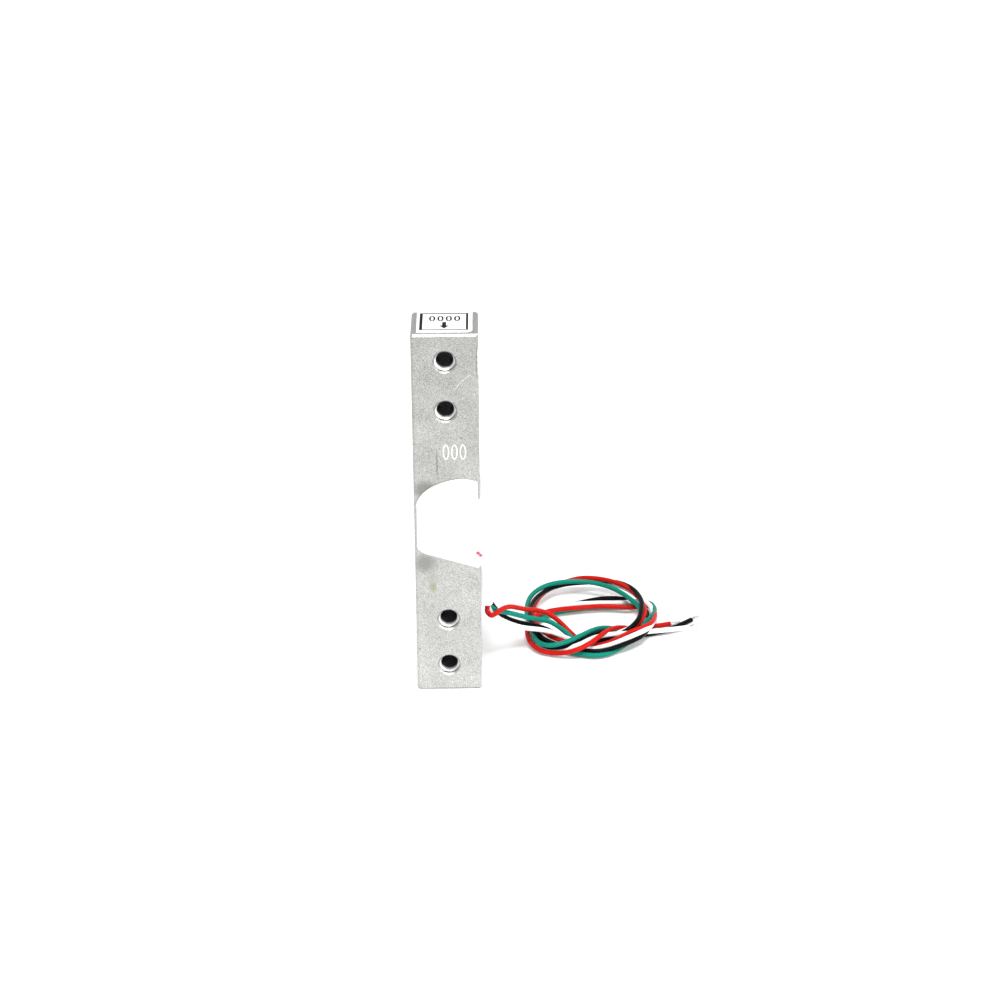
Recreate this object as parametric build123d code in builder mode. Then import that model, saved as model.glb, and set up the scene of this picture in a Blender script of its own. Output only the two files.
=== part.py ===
from build123d import *
from math import radians, tan
import os

os.makedirs("parts", exist_ok=True)

# A single point load cell: a square aluminium bar standing on one end. X runs to the right
# along its width, Y runs through its depth away from the front, and Z runs up its length.
# The front and back faces carry the tapped holes and the strain gauges. The origin is the
# middle of the lower end face. All sizes are in millimetres.

# Bar
LENGTH = 75.0
WIDTH = 12.7
DEPTH = 12.7
EDGE_BREAK = 0.4

# Tapped holes: M4 right through, two near each end, cut to the thread's major diameter
HOLE_DIA = 4.0
HOLE_RIM_DIA = 4.6
END_TO_HOLE = 5.5
HOLE_PITCH = 10.0

# Binocular cut-out from side to side: two bores joined by a slot
BORE_DIA = 10.0
BORE_PITCH = 11.0
SLOT_WIDTH = 3.0
SENSING_HEIGHT = LENGTH / 2

# Foil strain gauges, one over each thin wall of the bar, front and back
GAUGE_WIDTH = 2.8
GAUGE_LENGTH = 3.6
GAUGE_THICKNESS = 0.2
GAUGE_X = 0.8

# Solder pad between the two gauges of a face, and what is soldered to it
PAD_WIDTH = 4.4
PAD_HEIGHT = 3.4
PAD_THICKNESS = 0.5
JUMPER_SPACING = 1.4
SOLDER_DIA = 0.9
SOLDER_HEIGHT = 0.35
SOLDER_SLOPE = 30.0
SOLDER_SPACING_X = 2.8
SOLDER_SPACING_Z = 1.8

# Fine insulated ribbons: short ones from the gauges to the pads, and two long ones that join
# the front half of the bridge to the back half, round the right side
RIBBON_WIDTH = 0.3
RIBBON_THICKNESS = 0.1
RIBBON_GAP = 0.1
LINK_RISE = 1.0

# Four insulated leads with tinned cores. They leave the sealant side by side, well below the
# middle of the bar and a little outside its right face
WIRE_DIA = 1.0
CORE_DIA = 0.45
CORE_LENGTH = 2.6
FACE_GAP = 0.05
EXIT_OUT = 1.35
EXIT_DROP = 21.5
EXIT_Y = -0.6
EXIT_GAP = 0.05

# The potted stretch of each lead: the face that it starts on, and then its start above the
# middle of the bar, its run along the face, its drop at the bar's corner, its distance in from
# the edge and its drop on the right face, and the drop from which it hangs straight
FRONT = -1
BACK = 1
ROOT_ROUTES = {
    "red": (FRONT, -0.6, 1.3, 7.5, 2.75, 11.5, 16.5),
    "white": (FRONT, 0.6, 2.6, 4.3, 3.95, 9.5, 14.5),
    "green": (BACK, 0.6, 2.6, 4.1, 2.45, 9.1, 14.5),
    "black": (BACK, -0.6, 1.3, 7.5, 0.65, 11.1, 16.0),
}
SIDE_STEP = 0.15

# Silicone sealant over the gauges and round the right side. Each point of its upper and lower
# edges is a part of the film's width from the left, and a height above the middle of the bar
SEAL_THICKNESS = 1.3
SEAL_ROUND = 1.1
SEAL_LEFT_BARE = 0.45
SEAL_RIGHT_EDGE = 0.4
SEAL_TOP_LINE = ((0.0, 3.1), (0.15, 5.7), (0.42, 7.4), (0.75, 8.15), (1.0, 7.5))
SEAL_FOOT_LINE = ((1.0, -10.7), (0.62, -9.3), (0.26, -8.0), (0.08, -7.2), (0.0, -6.3))
WRAP_TOP = 3.9
WRAP_FOOT = -8.5
WRAP_SHOULDER = ((0.5, 0.6), (0.0, 1.8))

# Its tail down over the leads. Each step above the foot is a drop from the middle of the bar,
# a distance out from the right face, a span beyond the bar's depth, a middle and a rounding
TAIL_MARGIN = 0.45
TAIL_ROUND = 0.9
TAIL_STEPS = ((16.5, 2.65, -6.3, 1.1, 1.2), (11.5, 1.95, -1.7, 0.4, 1.4), (6.0, 1.35, 2.0, 0.0, 1.2))

# Paper label on the upper end face
LABEL_SIDE_BARE = 1.05
LABEL_FRONT_BARE = 1.1
LABEL_THICKNESS = 0.1

# Loose coil of all four leads, lying on the surface that the bar stands on, and the hump at
# its left where the leads come down over it
COIL_HEIGHT = 3.6
COIL_LEFT_X = 15.2
COIL_RIGHT_X = 43.0
COIL_FLAT_LEFT = (15.0, 25.0)
COIL_FLAT_RIGHT = (15.0, 25.5)
HUMP_TOP = 9.8
HUMP_RIGHT_X = 23.6
HUMP_FRONT_Y = 9.0
HUMP_BACK_Y = 17.6
LYING_HEIGHT = WIRE_DIA / 2 + 0.05

CUT_TOP = SENSING_HEIGHT + BORE_PITCH / 2
CUT_FOOT = SENSING_HEIGHT - BORE_PITCH / 2
PAD_EDGE_X = GAUGE_X + PAD_WIDTH / 2
PAD_TOP = SENSING_HEIGHT + PAD_HEIGHT / 2
EXIT_X = WIDTH / 2 + EXIT_OUT
EXIT_HEIGHT = SENSING_HEIGHT - EXIT_DROP
EXIT_PITCH = WIRE_DIA + EXIT_GAP


def face_plane(side):
    """The front or back face of the bar, drawn with X to the right and Z up."""
    return Plane(origin=(0, side * DEPTH / 2, 0), x_dir=(1, 0, 0), z_dir=(0, -1, 0))


def corner_radii(points):
    """The largest arc that the runs beside each corner leave room for."""
    radii = []
    for before, corner, after in zip(points, points[1:], points[2:]):
        run_in = Vector(*corner) - Vector(*before)
        run_out = Vector(*after) - Vector(*corner)
        shorter = min(run_in.length, run_out.length)
        radii.append(0.45 * shorter / tan(radians(run_in.get_angle(run_out) / 2)))
    return radii


def wire(points, diameter):
    """A round wire along straight runs that are joined by tangent arcs."""
    with BuildPart() as strand:
        with BuildLine() as route:
            FilletPolyline(*points, radius=corner_radii(points))
        with BuildSketch(Plane(origin=route.line @ 0, z_dir=route.line % 0)):
            Circle(diameter / 2)
        sweep()
    return strand.part


def potted_wire(points, diameter):
    """A round wire that is sealed in and held all the way, drawn with plain mitred bends."""
    with BuildPart() as strand:
        with BuildLine() as route:
            Polyline(*points)
        with BuildSketch(Plane(origin=route.line @ 0, z_dir=route.line % 0)):
            Circle(diameter / 2)
        sweep(transition=Transition.RIGHT)
    return strand.part


def save(piece, name):
    piece.label = name
    export_step(piece, f"parts/{name}.step")


# The plain bar with its long and end edges broken, before anything is cut into it
with BuildPart() as blank:
    with BuildSketch(Plane.XY):
        Rectangle(WIDTH, DEPTH)
    extrude(amount=LENGTH)
    chamfer(blank.edges(), EDGE_BREAK)

HOLE_HEIGHTS = (
    END_TO_HOLE,
    END_TO_HOLE + HOLE_PITCH,
    LENGTH - END_TO_HOLE - HOLE_PITCH,
    LENGTH - END_TO_HOLE,
)

with BuildPart() as beam:
    add(blank.part)
    with BuildSketch(Plane.YZ):
        with Locations((0, CUT_FOOT), (0, CUT_TOP)):
            Circle(BORE_DIA / 2)
        with Locations((0, SENSING_HEIGHT)):
            Rectangle(SLOT_WIDTH, BORE_PITCH)
    extrude(amount=WIDTH / 2, both=True, mode=Mode.SUBTRACT)
    for side in (FRONT, BACK):
        mouth = Plane(origin=(0, side * DEPTH / 2, 0), x_dir=(1, 0, 0), z_dir=(0, side, 0))
        with Locations(mouth):
            with Locations(*[(0, -side * height) for height in HOLE_HEIGHTS]):
                CounterSinkHole(HOLE_DIA / 2, HOLE_RIM_DIA / 2, DEPTH / 2, 90)
save(beam.part, "beam")

with BuildPart() as rating_label:
    with BuildSketch(Plane.XY.offset(LENGTH)):
        with Locations((0, (LABEL_FRONT_BARE - EDGE_BREAK) / 2)):
            Rectangle(WIDTH - 2 * LABEL_SIDE_BARE, DEPTH - LABEL_FRONT_BARE - EDGE_BREAK)
    extrude(amount=LABEL_THICKNESS)
save(rating_label.part, "rating_label")


def strain_gauge(side, height):
    with BuildPart() as gauge:
        with BuildSketch(face_plane(side)):
            with Locations((GAUGE_X, height)):
                Rectangle(GAUGE_WIDTH, GAUGE_LENGTH)
        extrude(amount=-side * GAUGE_THICKNESS)
    return gauge.part


def terminal_pad(side):
    with BuildPart() as pad:
        with BuildSketch(face_plane(side)):
            with Locations((GAUGE_X, SENSING_HEIGHT)):
                Rectangle(PAD_WIDTH, PAD_HEIGHT)
        extrude(amount=-side * PAD_THICKNESS)
    return pad.part


def jumpers(side):
    """Four short ribbons, two from each gauge of a face to the solder pad between them."""
    gap = CUT_TOP - GAUGE_LENGTH / 2 - SENSING_HEIGHT - PAD_HEIGHT / 2
    y = side * (DEPTH / 2 + RIBBON_GAP + RIBBON_THICKNESS / 2)
    with BuildPart() as ribbons:
        for start in (SENSING_HEIGHT + PAD_HEIGHT / 2, CUT_FOOT + GAUGE_LENGTH / 2):
            with BuildSketch(Plane.XY.offset(start)):
                with Locations((GAUGE_X, y)):
                    with GridLocations(JUMPER_SPACING, 0, 2, 1):
                        Rectangle(RIBBON_WIDTH, RIBBON_THICKNESS)
            extrude(amount=gap)
    return ribbons.part


def solder_joints(side):
    """Low eight-sided beads of solder on the four corners of a pad."""
    surface = DEPTH / 2 + PAD_THICKNESS
    top = Plane(origin=(0, side * surface, 0), x_dir=(1, 0, 0), z_dir=(0, side, 0))
    with BuildPart() as joints:
        with BuildSketch(top):
            with Locations((GAUGE_X, -side * SENSING_HEIGHT)):
                with GridLocations(SOLDER_SPACING_X, SOLDER_SPACING_Z, 2, 2):
                    RegularPolygon(SOLDER_DIA / 2, 8)
        extrude(amount=SOLDER_HEIGHT, taper=SOLDER_SLOPE)
    return joints.part


def cross_links():
    """Two ribbons round the right side, from the right and top edges of the front pad."""
    inner_x = WIDTH / 2 + RIBBON_GAP
    inner_y = DEPTH / 2 + RIBBON_GAP
    lower = (PAD_EDGE_X, PAD_TOP - 1.5 * RIBBON_WIDTH)
    upper = (PAD_EDGE_X - 1.5 * RIBBON_WIDTH, PAD_TOP + LINK_RISE)
    with BuildPart() as links:
        for start_x, foot in (lower, upper):
            with BuildSketch(Plane.XY.offset(foot)):
                for mode, skin in ((Mode.ADD, RIBBON_THICKNESS), (Mode.SUBTRACT, 0)):
                    reach = inner_x + skin - start_x
                    with Locations((start_x + reach / 2, 0)):
                        Rectangle(reach, 2 * (inner_y + skin), mode=mode)
            extrude(amount=RIBBON_WIDTH)
        with BuildSketch(Plane.XY.offset(PAD_TOP)):
            for side in (FRONT, BACK):
                with Locations((upper[0] + RIBBON_WIDTH / 2, side * (inner_y + RIBBON_THICKNESS / 2))):
                    Rectangle(RIBBON_WIDTH, RIBBON_THICKNESS)
        extrude(amount=LINK_RISE + RIBBON_WIDTH)
    return links.part


inner_pieces = {}
for side, face in ((FRONT, "front"), (BACK, "back")):
    inner_pieces[f"{face}_upper_gauge"] = strain_gauge(side, CUT_TOP)
    inner_pieces[f"{face}_lower_gauge"] = strain_gauge(side, CUT_FOOT)
    inner_pieces[f"{face}_terminal_pad"] = terminal_pad(side)
    inner_pieces[f"{face}_jumpers"] = jumpers(side)
    inner_pieces[f"{face}_solder_joints"] = solder_joints(side)

inner_pieces["cross_links"] = cross_links()

# Each lead runs from its solder pad round the bar's corner and down the right side to the
# foot of the sealant. Two come from the front face and two from the back
skin = DEPTH / 2 + FACE_GAP + WIRE_DIA / 2
side_x = WIDTH / 2 + FACE_GAP + WIRE_DIA / 2
exit_y = {name: EXIT_Y + EXIT_PITCH * place for place, name in enumerate(ROOT_ROUTES)}
for name, (side, start, first_run, corner_drop, inset, side_drop, straight_drop) in ROOT_ROUTES.items():
    start_z = SENSING_HEIGHT + start
    inner_pieces[f"{name}_root"] = potted_wire(
        [
            (PAD_EDGE_X, side * skin, start_z),
            (PAD_EDGE_X + first_run, side * skin, start_z),
            (side_x, side * skin, SENSING_HEIGHT - corner_drop),
            (side_x + SIDE_STEP, side * (DEPTH / 2 - inset), SENSING_HEIGHT - side_drop),
            (EXIT_X, exit_y[name], SENSING_HEIGHT - straight_drop),
            (EXIT_X, exit_y[name], EXIT_HEIGHT),
        ],
        WIRE_DIA,
    )
for name, piece in inner_pieces.items():
    save(piece, name)

# Sealant: the front view's outline is extruded through the bar, and a lofted tail carries
# the four leads down the right side. The bar and every piece inside leave their shapes in it
exit_middle = EXIT_Y + 1.5 * EXIT_PITCH
tail_foot_x = EXIT_X + WIRE_DIA / 2 + TAIL_MARGIN
tail_foot_span = 3 * EXIT_PITCH + WIRE_DIA + 2 * TAIL_MARGIN
tail_sections = [(EXIT_HEIGHT, tail_foot_x, tail_foot_span, exit_middle, TAIL_ROUND)]
for drop, out, extra, middle, rounding in TAIL_STEPS:
    tail_sections.append((SENSING_HEIGHT - drop, WIDTH / 2 + out, DEPTH + extra, middle, rounding))
seal_left = SEAL_LEFT_BARE - WIDTH / 2
seal_right = WIDTH / 2 - SEAL_RIGHT_EDGE
seal_side = WIDTH / 2 + SEAL_THICKNESS
top_line = [
    (seal_left + share * (seal_right - seal_left), SENSING_HEIGHT + height)
    for share, height in SEAL_TOP_LINE
]
foot_line = [
    (seal_left + share * (seal_right - seal_left), SENSING_HEIGHT + height)
    for share, height in SEAL_FOOT_LINE
]
wrap_top = SENSING_HEIGHT + WRAP_TOP
with BuildPart() as sealant:
    with BuildSketch(Plane.XZ):
        with BuildLine():
            Spline(*top_line)
            Polyline(
                top_line[-1],
                (seal_right, wrap_top),
                *[(seal_side - inwards, wrap_top - drop) for inwards, drop in WRAP_SHOULDER],
                (seal_side, SENSING_HEIGHT + WRAP_FOOT),
                foot_line[0],
            )
            Spline(*foot_line)
            Line(foot_line[-1], top_line[0])
        make_face()
    extrude(amount=DEPTH / 2 + SEAL_THICKNESS, both=True)
    outer_rims = sealant.edges().group_by(Axis.Y)
    fillet(outer_rims[0] + outer_rims[-1], SEAL_ROUND)
    for height, outer_x, span, middle, rounding in tail_sections:
        with BuildSketch(Plane.XY.offset(height)):
            with Locations((outer_x / 2, middle)):
                RectangleRounded(outer_x, span, rounding)
    loft()
    add(blank.part, mode=Mode.SUBTRACT)
    for piece in inner_pieces.values():
        add(piece, mode=Mode.SUBTRACT)
save(sealant.part, "sealant")

# Coil: one solid of the outer shape of its two loose turns, with the gaps between them
with BuildPart() as wire_coil:
    with BuildSketch(Plane.XY):
        with BuildLine():
            front = Spline(
                (COIL_LEFT_X, COIL_FLAT_LEFT[0]),
                (16.8, 10.8),
                (20.4, 7.4),
                (26.0, 5.8),
                (31.8, 6.6),
                (37.8, 10.4),
                (COIL_RIGHT_X, COIL_FLAT_RIGHT[0]),
                tangents=((0, -1), (0.5, 1)),
            )
            Line(front @ 1, (COIL_RIGHT_X, COIL_FLAT_RIGHT[1]))
            back = Spline(
                (COIL_RIGHT_X, COIL_FLAT_RIGHT[1]),
                (41.2, 31.0),
                (37.2, 35.6),
                (31.0, 38.0),
                (24.0, 37.6),
                (17.8, 33.0),
                (COIL_LEFT_X, COIL_FLAT_LEFT[1]),
                tangents=((0, 1), (0, -1)),
            )
            Line(back @ 1, front @ 0)
        make_face()
        with BuildLine():
            Spline((19.2, 29.2), (23.5, 34.2), (29.0, 34.8), (33.4, 33.6))
            Spline((33.4, 33.6), (28.0, 31.4), (23.0, 29.6), (19.2, 29.2))
        make_face(mode=Mode.SUBTRACT)
        with BuildLine():
            Spline((21.5, 25.4), (29.0, 27.0), (36.8, 26.6))
            Spline((36.8, 26.6), (37.6, 22.0), (33.4, 19.0))
            Spline((33.4, 19.0), (28.6, 17.4), (25.8, 15.8))
            Spline((25.8, 15.8), (23.8, 19.4), (21.5, 25.4))
        make_face(mode=Mode.SUBTRACT)
    extrude(amount=COIL_HEIGHT)
    with BuildSketch(Plane.XZ.offset(-HUMP_FRONT_Y)):
        with BuildLine():
            Polyline(
                (COIL_LEFT_X, 0),
                (COIL_LEFT_X, HUMP_TOP),
                (COIL_LEFT_X + 1.8, HUMP_TOP - 0.6),
                (HUMP_RIGHT_X, COIL_HEIGHT),
                (HUMP_RIGHT_X, 0),
                close=True,
            )
        make_face()
    extrude(amount=HUMP_FRONT_Y - HUMP_BACK_Y)
save(wire_coil.part, "wire_coil")

# Free leads from the sealant's foot to the coil, each chosen point by point
EXITS = {name: (EXIT_X, y, EXIT_HEIGHT) for name, y in exit_y.items()}
LEAD_POINTS = {
    "red": [
        (EXIT_X, exit_y["red"], EXIT_HEIGHT - 1.4),
        (9.0, -0.2, 12.9),
        (11.1, 4.2, 12.3),
        (14.0, 9.6, 10.1),
        (16.6, 13.3, 7.4),
    ],
    "white": [
        (EXIT_X, exit_y["white"], EXIT_HEIGHT - 2.2),
        (8.5, 1.7, 11.6),
        (10.4, 5.3, 9.0),
        (13.9, 8.9, 5.8),
        (17.2, 11.2, 4.4),
    ],
    "green": [
        (EXIT_X, exit_y["green"], EXIT_HEIGHT - 1.8),
        (8.4, 2.9, 12.6),
        (10.7, 6.7, 10.9),
        (14.0, 9.6, 8.2),
        (16.8, 11.9, 6.3),
    ],
    "black": [
        (EXIT_X, exit_y["black"], EXIT_HEIGHT - 1.3),
        (8.1, 4.5, 13.6),
        (10.1, 7.6, 10.1),
        (13.5, 9.5, 7.1),
        (17.2, 11.7, 5.1),
    ],
}
TAIL_POINTS = {
    "red": [(40.6, 18.6), (43.4, 19.8), (45.5, 20.9)],
    "black": [(40.6, 17.6), (43.4, 18.1), (46.2, 18.8), (48.6, 20.2), (50.3, 21.9)],
    "white": [(40.6, 16.4), (44.5, 17.2), (48.3, 18.3)],
    "green": [(40.6, 15.5), (42.4, 15.8), (43.9, 15.9)],
}
for name, points in LEAD_POINTS.items():
    route = [EXITS[name], *points]
    print(name, "lead radii", [round(radius, 1) for radius in corner_radii(route)])
    whole = wire(route, WIRE_DIA)
    with BuildPart() as lead:
        add(whole)
        add(wire_coil.part, mode=Mode.SUBTRACT)
    save(lead.part, f"{name}_lead")

for name, points in TAIL_POINTS.items():
    route = [(x, y, LYING_HEIGHT) for x, y in points]
    print(name, "tail radii", [round(radius, 1) for radius in corner_radii(route)])
    whole = wire(route, WIRE_DIA)
    with BuildPart() as tail:
        add(whole)
        add(wire_coil.part, mode=Mode.SUBTRACT)
    save(tail.part, f"{name}_tail")
    tip = Vector(*route[-1])
    heading = (tip - Vector(*route[-2])).normalized()
    with BuildPart() as core:
        with BuildSketch(Plane(origin=tip, z_dir=heading)):
            Circle(CORE_DIA / 2)
        extrude(amount=CORE_LENGTH)
    save(core.part, f"{name}_core")
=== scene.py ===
from math import cos, pi, radians, sin
import bmesh
import bpy
import numpy as np
from mathutils import Matrix, Vector
from mathutils.noise import noise as smooth_noise


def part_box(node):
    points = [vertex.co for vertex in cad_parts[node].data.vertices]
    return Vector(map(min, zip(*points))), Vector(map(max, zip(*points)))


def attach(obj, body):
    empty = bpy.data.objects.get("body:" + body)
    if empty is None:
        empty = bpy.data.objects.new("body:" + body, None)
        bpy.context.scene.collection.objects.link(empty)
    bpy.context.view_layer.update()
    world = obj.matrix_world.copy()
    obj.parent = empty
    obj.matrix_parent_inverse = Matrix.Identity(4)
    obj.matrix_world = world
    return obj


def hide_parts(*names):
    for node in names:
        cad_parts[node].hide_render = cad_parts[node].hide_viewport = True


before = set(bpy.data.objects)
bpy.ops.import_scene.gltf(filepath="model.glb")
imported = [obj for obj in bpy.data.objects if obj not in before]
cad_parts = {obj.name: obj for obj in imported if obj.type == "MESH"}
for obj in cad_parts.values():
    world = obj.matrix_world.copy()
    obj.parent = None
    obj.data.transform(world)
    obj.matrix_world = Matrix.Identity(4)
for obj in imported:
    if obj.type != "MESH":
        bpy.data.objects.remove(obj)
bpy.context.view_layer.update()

# A single point load cell: a blasted aluminium bar standing on one end, white silicone round its
# middle, and four thin leads that lie beside it in a loose coil. Sizes in this script are in
# millimetres unless a name says otherwise, and MM turns them into the scene's metres
MM = 0.001
BODY = "root"
bar_low, bar_high = (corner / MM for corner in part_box("beam"))
BAR_FRONT = bar_low.y
BAR_RIGHT = bar_high.x
BAR_TOP = bar_high.z

# Camera, fitted to the corners of the bar in the photograph, 1000 pixels high
CAMERA_PLACE = (8.267, -450.186, 240.97)
CAMERA_FOCUS_PIXELS = 2535.8
CAMERA_DOWN = radians(24.241)
CAMERA_TURN = radians(0.24)
CAMERA_ROLL = radians(0.411)
SENSOR = 36.0
FRAME_PIXELS = 1000
PHOTO_MIDDLE = (499.5, 500.0)

# The camera's line of sight, and the directions to the right and up in the photograph
SIGHT = np.array((
    sin(CAMERA_TURN) * cos(CAMERA_DOWN), cos(CAMERA_TURN) * cos(CAMERA_DOWN), -sin(CAMERA_DOWN),
))
LEVEL = np.array((cos(CAMERA_TURN), -sin(CAMERA_TURN), 0))
UPRIGHT = np.cross(LEVEL, SIGHT)
PHOTO_RIGHT = cos(CAMERA_ROLL) * LEVEL - sin(CAMERA_ROLL) * UPRIGHT
PHOTO_UP = sin(CAMERA_ROLL) * LEVEL + cos(CAMERA_ROLL) * UPRIGHT

# Leads
WIRE_DIA = 1.0
WIRE_ROUND_STEPS = 5
WIRE_LENGTH_STEPS = 8
SETTLE_ROUNDS = 200
SETTLE_GAP = 1.03
SETTLE_SKIP = 6.0
HELD_POINTS = 2
SETTLE_LEAST_SHARE = 0.7
SETTLE_SMOOTHING = 0.1
BACK_CLEARANCE = 0.06
BACK_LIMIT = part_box("wire_coil")[1].y / MM - WIRE_DIA / 2 - BACK_CLEARANCE

# Bare ends: a tinned bundle of thin strands, a little frayed
STRANDS = 7
STRAND_DIA = 0.26
STRAND_LENGTH = 2.5
STRAND_PITCH = 0.26
STRAND_STEPS = 8
STRAND_TWIST = 1.6
STRAND_SUNK = 0.3
FRAY = {"red": 0.25, "white": 0.8, "green": 0.3, "black": 0.4}

# Threads in the tapped holes
HOLE_HEIGHTS = (5.5, 15.5, 59.5, 69.5)
THREAD_ROOT = 2.05
THREAD_CREST = 1.66
THREAD_PITCH = 0.7
THREAD_SINK = 0.75
THREAD_STEPS = 28
THREAD_FADE_STEPS = 14
THREAD_BURIED = 0.02
THREAD_FLANK = 0.3
THREAD_FLAT = 0.06
# How far along each bore its painted shade reaches
BORE_SHADE_REACH = 6.3

# Silicone
SILICONE_GRAIN = 0.18
SILICONE_SOFTENING = 5
SILICONE_COVER = 0.34
SILICONE_WAVE_SIZE = 3.2
SILICONE_WAVE_DEPTH = 0.05
SILICONE_PROUD = 0.3
SILICONE_REACH = 0.22
SILICONE_BESIDE = 0.2
SILICONE_PRESS = 0.14

# Print on the label and on the front face. A bar is its left, near, right and far edge
PRINT_RISE = 0.012
NOUGHT_SIDES = 28
LABEL_BARS = (
    (-4.72, -4.0, -4.16, 5.15), (4.06, -4.0, 4.48, 5.15), (-4.2, 4.72, 4.1, 5.15),
    (-4.2, -4.0, 4.1, -3.66), (-0.42, -1.7, 0.34, 0.25),
)
ARROW_HEAD = ((-0.95, -1.6), (-0.04, -3.2), (0.84, -1.6))
LABEL_NOUGHT_X = -2.35
LABEL_NOUGHT_Y = 2.2
LABEL_NOUGHT_PITCH = 1.58
LABEL_NOUGHT_SIZE = (1.2, 2.9, 0.34)
FACE_NOUGHT_SIZE = (1.2, 3.1, 0.2)
FACE_NOUGHT_HEIGHT = 51.2
FACE_NOUGHT_PITCH = 1.62

# Burrs on the bar's right edge and top right corner, and a fine scratch on its front
SIDE_BURR_HEIGHTS = (67.6, 68.8, 70.1, 71.2)
TOP_BURR_PLACES = (5.0, 5.5, 6.0)
SCRATCH_POINTS = ((4.7, 66.9), (3.5, 66.0), (2.6, 65.0), (1.9, 63.9))
SCRATCH_WIDTH = 0.04


def make_camera():
    """The camera stands where the photograph was taken from."""
    data = bpy.data.cameras.new("camera")
    data.sensor_width = SENSOR
    data.lens = CAMERA_FOCUS_PIXELS * SENSOR / FRAME_PIXELS
    data.clip_start = 0.01
    data.clip_end = 20
    camera = bpy.data.objects.new("camera", data)
    bpy.context.scene.collection.objects.link(camera)
    turned = Matrix((Vector(PHOTO_RIGHT), Vector(PHOTO_UP), Vector(-SIGHT))).transposed()
    camera.matrix_world = Matrix.Translation(Vector(CAMERA_PLACE) * MM) @ turned.to_4x4()
    bpy.context.scene.camera = camera


# Where each lead leaves the silicone, and the next point below it, in millimetres
EXITS = {
    "red": [(7.7, -0.6, 16), (7.6, -0.3, 15)],
    "white": [(7.7, 0.45, 16), (7.7, 0.9, 14.7)],
    "green": [(7.7, 1.5, 16), (7.8, 1.9, 14.9)],
    "black": [(7.7, 2.55, 16), (7.8, 2.8, 15.2)],
}
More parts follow.
